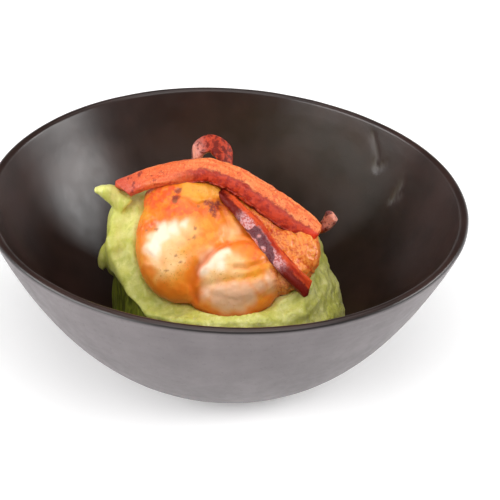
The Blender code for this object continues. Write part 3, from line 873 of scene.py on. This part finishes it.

# %% [markdown]
# ## The puree's finish
#
# Mashed avocado is yellow-green, soft and moist. Light goes in a little and comes out greener. Small paler and
# darker grains sit in it. Low down at the left it is painted darker and greener, partly its own colour where it is
# thin and partly painted shade, and under the ledge it is painted deep green as a painted shadow.

# %% Mix the puree
mark(puree, "smeared", left)
# Under the ledge the puree is painted deep green: a painted shadow of the overhanging smear.
mark(puree, "ledge_painted_shadow", under_ledge)
# Low down at the left the puree is painted darker and greener: partly its own colour where thin, partly painted
# shade.
mark(puree, "greener_and_painted_shade", (1 - eased(places[:, 2], 22 * MM, 34 * MM)) * (1 - eased(places[:, 0], -12 * MM, 2 * MM)))
green, shader = finish(
    "avocado_puree", Subsurface_Weight=0.4, Subsurface_Scale=1.5 * MM, Specular_IOR_Level=0.45,
    Coat_Weight=0.12, Coat_Roughness=0.25,
)
shader.inputs["Subsurface Radius"].default_value = (1.0, 0.9, 0.35)
patchy = grain(7 * MM, 3.0)
grainy = grain(1.3 * MM, 4.0, 0.65)
colour = blended(between(patchy, 0.32, 0.66), (0.58, 0.575, 0.115), (0.72, 0.70, 0.24))
smooth_side = sum_up("SUBTRACT", 1.0, times(amount("smeared"), 0.6))
dark_grains = times(between(grainy, 0.52, 0.66), smooth_side)
colour = tinted(0.55, dark_grains, colour, (0.46, 0.46, 0.05))
light_grains = times(between(grainy, 0.46, 0.34), smooth_side)
colour = tinted(0.5, light_grains, colour, (0.84, 0.79, 0.38))
streaks = grain(2.2 * MM, 3.0, 0.6, stretch=(1, 1, 3.5))
streaky = times(between(streaks, 0.50, 0.66), amount("smeared"))
colour = tinted(0.6, streaky, colour, (0.46, 0.49, 0.06))
# Darker, greener tone low at the left: part the puree's own colour, part painted shade.
greener_and_painted_shade = times(between(patchy, 0.42, 0.58), amount("greener_and_painted_shade"))
colour = tinted(0.8, greener_and_painted_shade, colour, (0.36, 0.40, 0.03))
# The deep green under the ledge is a painted shadow.
painted_shadow_greens = blended(between(streaks, 0.42, 0.60), (0.12, 0.145, 0.008), (0.30, 0.34, 0.03))
colour = tinted(0.95, amount("ledge_painted_shadow"), colour, painted_shadow_greens)
surface(shader, colour, between(grainy, 0.3, 0.7, 0.42, 0.60))
bumps(shader, sum_up("ADD", times(grainy, smooth_side), streaks), 0.45 * MM, 0.8)
dress(puree, green, "puree", "puree")

# %% [markdown]
# ## The pepper strips
#
# Each strip is a long cut of roast red pepper. Its way-points say where its middle passes, which way its broad
# face looks and how wide it is. A ring of points is carried along the way, and a small formula for each strip
# shapes the section, the ragged edges and the cut ends.

# %% Lay a strip along its way
LONG_STRIP = [
    ((-29.4, 2.6, 52.6), (-0.2, -0.45, 0.9), 6.2), ((-21.4, 2.0, 56.6), (-0.2, -0.45, 0.9), 6.2),
    ((-12.8, 1.0, 59.4), (-0.1, -0.5, 0.85), 6.4), ((-5.2, 0.0, 60.9), (0.1, -0.5, 0.85), 6.8),
    ((2.0, -1.0, 58.9), (0.35, -0.45, 0.85), 7.2), ((8.8, -2.0, 54.9), (0.5, -0.45, 0.8), 8.4),
    ((16.0, -3.6, 50.0), (0.5, -0.45, 0.8), 9.2), ((22.0, -4.8, 46.0), (0.5, -0.45, 0.8), 8.2),
    ((26.6, -6.0, 43.0), (0.5, -0.45, 0.8), 5.4),
]
CHARRED_STRIP = [
    ((-8.6, 14.0, 50.6), (-1.0, -0.3, 0.0), 4.0), ((-8.2, 13.6, 55.4), (-1.0, -0.3, 0.1), 4.4),
    ((-7.4, 13.4, 59.2), (-0.8, -0.5, 0.5), 4.8), ((-3.9, 13.2, 61.4), (0.1, -0.6, 0.8), 5.2),
    ((-0.6, 12.0, 59.0), (0.7, -0.5, 0.5), 6.2), ((0.2, 8.6, 55.9), (0.5, -0.1, 0.85), 4.2),
    ((-0.4, 4.0, 54.7), (0.2, -0.2, 0.95), 3.4), ((-0.8, -1.6, 54.7), (0.2, -0.45, 0.85), 3.4),
    ((4.3, -6.9, 51.6), (0.15, -0.6, 0.8), 4.0), ((9.2, -11.0, 47.8), (0.15, -0.65, 0.72), 5.0),
    ((13.4, -15.4, 43.5), (0.2, -0.65, 0.72), 4.9), ((18.4, -18.5, 38.9), (0.2, -0.68, 0.7), 4.8),
    ((23.6, -19.0, 32.9), (0.2, -0.75, 0.65), 5.2),
]
END_STRIP = [
    ((31.0, 4.0, 43.2), (-0.5, -0.7, 0.45), 4.2), ((28.0, 5.0, 38.0), (-0.3, -0.3, 0.9), 3.6),
    ((22.8, 6.6, 38.2), (0.2, 0.1, 0.95), 3.2), ((16.8, 8.8, 42.0), (0.3, 0.1, 0.95), 3.2),
    ((10.4, 10.8, 45.8), (0.3, 0.1, 0.95), 2.8),
]
# How square a section is: 2 is an oval. How soon a cut end rounds off, and how blunt it is.
SQUARENESS, END_ROUNDING, END_BLUNTNESS = 3.2, 0.9, 0.25


def lay_strip(name, way, thickness, rows, spokes, shape, seed):
    """A strip of pepper. shape gets (share along, y across, z out) of each point of the plain section, y and z
    from -1 to 1, with its length in mm, and returns the shaped y and z and a move along, in mm."""
    shares = np.linspace(0, 1, rows)
    middle = through([place for place, _, _ in way], shares)
    faces = unit(through([unit(np.array(face)) for _, face, _ in way], shares))
    widths = through([width for _, _, width in way], shares)
    along = unit(np.gradient(middle, axis=0))
    across = unit(np.cross(faces, along))
    out = np.cross(along, across)
    length = np.append(0, np.cumsum(np.linalg.norm(np.diff(middle, axis=0), axis=1)))
    turns = np.linspace(0, 2 * math.pi, spokes, endpoint=False)
    y = np.sign(np.cos(turns)) * np.abs(np.cos(turns)) ** (2 / SQUARENESS)
    z = np.sign(np.sin(turns)) * np.abs(np.sin(turns)) ** (2 / SQUARENESS)
    share, y, z = (np.broadcast_to(a, (rows, spokes)) for a in (shares[:, None], y, z))
    far = np.broadcast_to(length[:, None], (rows, spokes))
    fibre = lumps(np.stack([far / 5, y * widths / 2 / 0.8, z * thickness / 2 / 0.8], -1), 1.0, seed)
    tear = lumps(np.stack([far / 2.2, y, z], -1), 1.0, seed + 1)
    fibre, tear = fibre.reshape(rows, spokes), tear.reshape(rows, spokes)
    shaped_y, shaped_z, beyond = shape(share, y, z, far, length[-1], fibre, tear)
    rounding = np.minimum(1, np.minimum(far, length[-1] - far) / END_ROUNDING + END_BLUNTNESS) ** 0.5
    rings = middle[:, None] + across[:, None] * (shaped_y * rounding * widths / 2)[..., None]
    rings = rings + out[:, None] * (shaped_z * rounding * thickness / 2)[..., None]
    rings = rings + along[:, None] * beyond[..., None]
    made = piece_of_rings(name, rings * MM)
    for label, amounts in {"along": share, "across": y, "fibre": fibre, "tear": tear}.items():
        mark(made, label, np.append(amounts.ravel(), [amounts[0].mean(), amounts[-1].mean()]))
    print(name, "is", round(length[-1], 1), "mm long")
    return made


print("each strip has", len(LONG_STRIP), len(CHARRED_STRIP), "or", len(END_STRIP), "way-points")

# %% [markdown]
# The long strip is folded along its length: a flat top that catches the light, and a front that turns down
# towards us and stays in shade, with a charred crease between them. Its left end is cut slanting.

# %% Shape the long strip
def long_shape(share, y, z, far, whole, fibre, tear):
    ridge = eased(share, 0.16, 0.34)
    crest = -0.34 + 0.16 * eased(share, 0.5, 0.8)
    turned_down = np.clip((crest - y) / (1 + crest), 0, 1)
    top = z > -0.2
    z = np.where(top, z - ridge * 1.15 * turned_down**1.15, z)
    z = z - top * ridge * 0.16 * near(y - crest + 0.07, 0.09)
    z = z + top * (0.12 * fibre + 0.05 * tear)
    y = y * (1 + 0.08 * tear) + 0.02 * fibre
    slant = (1 - eased(far, 0, 9)) * (-y) * 1.7
    return y, z, slant


LONG_THICKNESS, CHARRED_THICKNESS, END_THICKNESS = 3.25, 2.5, 2.4
long_strip = lay_strip("pepper_long", LONG_STRIP, LONG_THICKNESS, 200, 64, long_shape, 30)

# %% [markdown]
# The charred strip is narrower. It loops up behind, ducks under the long strip and comes down over the prawn,
# twisting a little and widening to a thick cut end. The short strip pokes up at the right. Both share one shape,
# a slightly hollow ribbon with pinched, wrinkled edges.

# %% Shape the two charred strips
def charred_shape(share, y, z, far, whole, fibre, tear):
    hollow = -0.22 * (z > 0) * near(y, 0.55)
    knots = 0.12 * np.sin(far * 2.4 + 2 * fibre) * eased(share, 0.5, 0.62) * (1 - eased(share, 0.86, 0.93))
    z = z + hollow + 0.14 * fibre * np.sign(z) + knots
    y = y * (1 + 0.10 * tear) + 0.06 * fibre
    slant = eased(far, whole - 6, whole) * (-y) * 0.8
    return y, z, slant


charred_strip = lay_strip("pepper_charred", CHARRED_STRIP, CHARRED_THICKNESS, 280, 48, charred_shape, 40)
end_strip = lay_strip("pepper_end", END_STRIP, END_THICKNESS, 130, 40, charred_shape, 50)

# %% [markdown]
# ## Roast pepper
#
# Roasting turns the flesh peach-orange on the face that looks up. The front that turns down is painted deep red,
# part the pepper's own red and part painted shade. The fibres run along the strip, so the noise that colours it
# is stretched that way. It shines with oil.

# %% Mix the roast pepper
roast, shader = finish(
    "roast_pepper", Subsurface_Weight=0.15, Subsurface_Scale=0.8 * MM, Specular_IOR_Level=0.4,
    Coat_Weight=0.12, Coat_Roughness=0.22,
)
shader.inputs["Subsurface Radius"].default_value = (1.0, 0.4, 0.2)
fibres = between(amount("fibre"), -0.45, 0.45)
mottle = grain(1.8 * MM, 4.0, 0.6)
fine = grain(0.55 * MM, 3.0, 0.6)
along = amount("along")
wavering = times(sum_up("SUBTRACT", grain(3.0 * MM, 2.0), 0.5), 0.6)
across = sum_up("ADD", amount("across"), wavering)
top_colour = blended(fibres, (0.76, 0.135, 0.026), (0.84, 0.25, 0.070))
red_top = sum_up("MAXIMUM", between(mottle, 0.50, 0.64), between(along, 0.42, 0.22, 0, 0.7))
top_colour = tinted(0.75, red_top, top_colour, (0.66, 0.075, 0.018))
top_colour = blended(between(fine, 0.54, 0.66, 0, 0.65), top_colour, (0.48, 0.040, 0.012))
top_colour = blended(between(fine, 0.42, 0.34, 0, 0.5), top_colour, (0.88, 0.36, 0.15))
# The front's deep red is partly the pepper's own red and partly painted shade.
front_red_and_shade = blended(between(mottle, 0.38, 0.60), (0.32, 0.012, 0.003), (0.54, 0.040, 0.007))
front_red_and_shade = blended(between(along, 0.86, 0.97), front_red_and_shade, (0.70, 0.040, 0.010))
turned = times(between(across, -0.16, -0.34), between(along, 0.18, 0.36))
colour = blended(turned, top_colour, front_red_and_shade)
crease_line = times(between(across, -0.50, -0.32), between(across, -0.06, -0.22))
crease_line = times(crease_line, between(along, 0.24, 0.42))
scorched = times(crease_line, between(mottle, 0.46, 0.60, 0.05, 0.75))
colour = blended(scorched, colour, (0.20, 0.012, 0.006))
left_end = between(along, 0.14, 0.03)
colour = tinted(0.7, left_end, colour, (0.52, 0.055, 0.035))
left_char = times(between(along, 0.30, 0.10), between(mottle, 0.56, 0.66))
colour = tinted(0.8, left_char, colour, (0.22, 0.020, 0.012))
surface(shader, colour, between(mottle, 0.3, 0.7, 0.36, 0.52))
bumps(shader, sum_up("ADD", mottle, fine), 0.22 * MM, 1.0)
dress(long_strip, roast, "roast_pepper", "pepper_strip_long")

# %% [markdown]
# ## Charred pepper
#
# The narrow strips had more fire. A pink to lilac painted highlight lies along part of each strip and on its first
# end. They are purple-black in the wrinkles and deep red on the cut end.

# %% Mix the charred pepper
charred, shader = finish(
    "charred_pepper", Subsurface_Weight=0.10, Subsurface_Scale=0.8 * MM, Specular_IOR_Level=0.14,
    Coat_Weight=0.03, Coat_Roughness=0.2,
)
shader.inputs["Subsurface Radius"].default_value = (1.0, 0.35, 0.2)
fibres = between(amount("fibre"), -0.4, 0.4)
mottle = grain(1.4 * MM, 4.0, 0.6)
fine = grain(0.55 * MM, 3.0, 0.6)
along = amount("along")
wavering = times(sum_up("SUBTRACT", mottle, 0.5), 0.9)
across = sum_up("ADD", amount("across"), wavering)
red_flesh = blended(fibres, (0.38, 0.022, 0.006), (0.62, 0.075, 0.014))
colour = blended(between(across, 0.25, -0.15), red_flesh, (0.16, 0.010, 0.005))
loop = between(along, 0.52, 0.44)
loop_colour = blended(between(mottle, 0.42, 0.60), (0.16, 0.014, 0.008), (0.46, 0.050, 0.020))
colour = blended(loop, colour, loop_colour)
# Painted highlight: a pink to lilac band along the falling part of each strip, and patches on its first end.
painted_highlight = times(between(along, 0.66, 0.70), between(along, 0.91, 0.87))
painted_highlight = times(painted_highlight, between(across, 0.45, 0.05))
first_end_highlight = times(between(along, 0.24, 0.12), between(mottle, 0.36, 0.50))
painted_highlight = sum_up("MAXIMUM", painted_highlight, first_end_highlight)
# The pink to lilac colour of the painted highlight.
skin = blended(between(fine, 0.38, 0.58), (0.46, 0.10, 0.085), (0.68, 0.36, 0.36))
colour = blended(painted_highlight, colour, skin)
# A paler painted highlight on the first end.
colour = tinted(0.8, first_end_highlight, colour, (0.78, 0.30, 0.20))
bars = times(between(amount("tear"), 0.02, 0.22), painted_highlight)
colour = tinted(0.85, bars, colour, (0.075, 0.012, 0.022))
colour = blended(between(fine, 0.60, 0.70, 0, 0.6), colour, (0.10, 0.010, 0.010))
surface(shader, colour, between(mottle, 0.3, 0.7, 0.32, 0.5))
bumps(shader, sum_up("ADD", mottle, fine), 0.22 * MM, 1.0)
dress(charred_strip, charred, "charred_pepper", "pepper_strip_charred")
dress(end_strip, charred, "charred_pepper", "pepper_strip_end")
